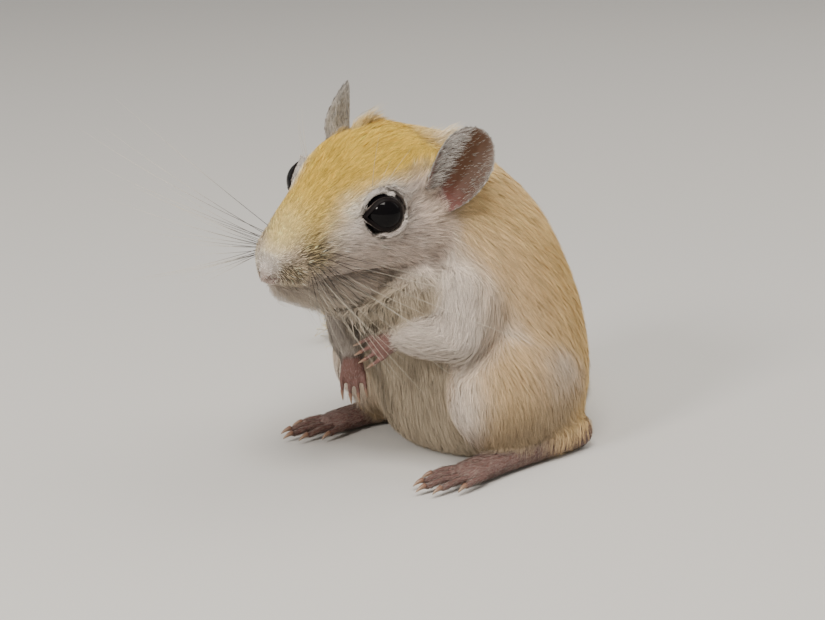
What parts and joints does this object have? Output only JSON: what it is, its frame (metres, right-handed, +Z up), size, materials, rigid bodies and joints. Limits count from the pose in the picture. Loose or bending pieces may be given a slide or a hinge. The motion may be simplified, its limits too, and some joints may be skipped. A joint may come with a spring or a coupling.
{
  "type": "sitting gerbil model",
  "caption": "Life-size still model of a young golden gerbil sitting up, head turned, forepaws held before its chest, long tufted tail laid round on the floor.",
  "frame": {"origin": "middle of the footprint of the whole model, tail included, on the floor", "axes": "+Z up, the body faces -Y, the animal's left side is +X"},
  "size_m": [0.0728, 0.0736, 0.0517],
  "materials": {
    "coat": "short soft fur",
    "belly_coat": "short soft pale fur",
    "ear_skin": "thin skin with fine hair",
    "paw_skin": "thin skin with sparse hair",
    "eye": "wet gloss",
    "claw": "translucent horn",
    "whisker": "stiff hair"
  },
  "bodies": {
    "root": {"head": "coat", "neck": "coat", "chest": "coat", "upper_arm_left": "coat", "upper_arm_right": "coat", "forearm_left": "coat", "forearm_right": "coat", "haunch_left": "coat", "haunch_right": "coat", "tail_root": "coat", "tail_middle": "coat", "tail_end": "coat", "lower_jaw": "belly_coat", "abdomen": "belly_coat", "ear_left": "ear_skin", "ear_right": "ear_skin", "forepaw_left": "paw_skin", "forepaw_right": "paw_skin", "hind_foot_left": "paw_skin", "hind_foot_right": "paw_skin", "eye_left": "eye", "eye_right": "eye"}
  },
  "joints": []
}
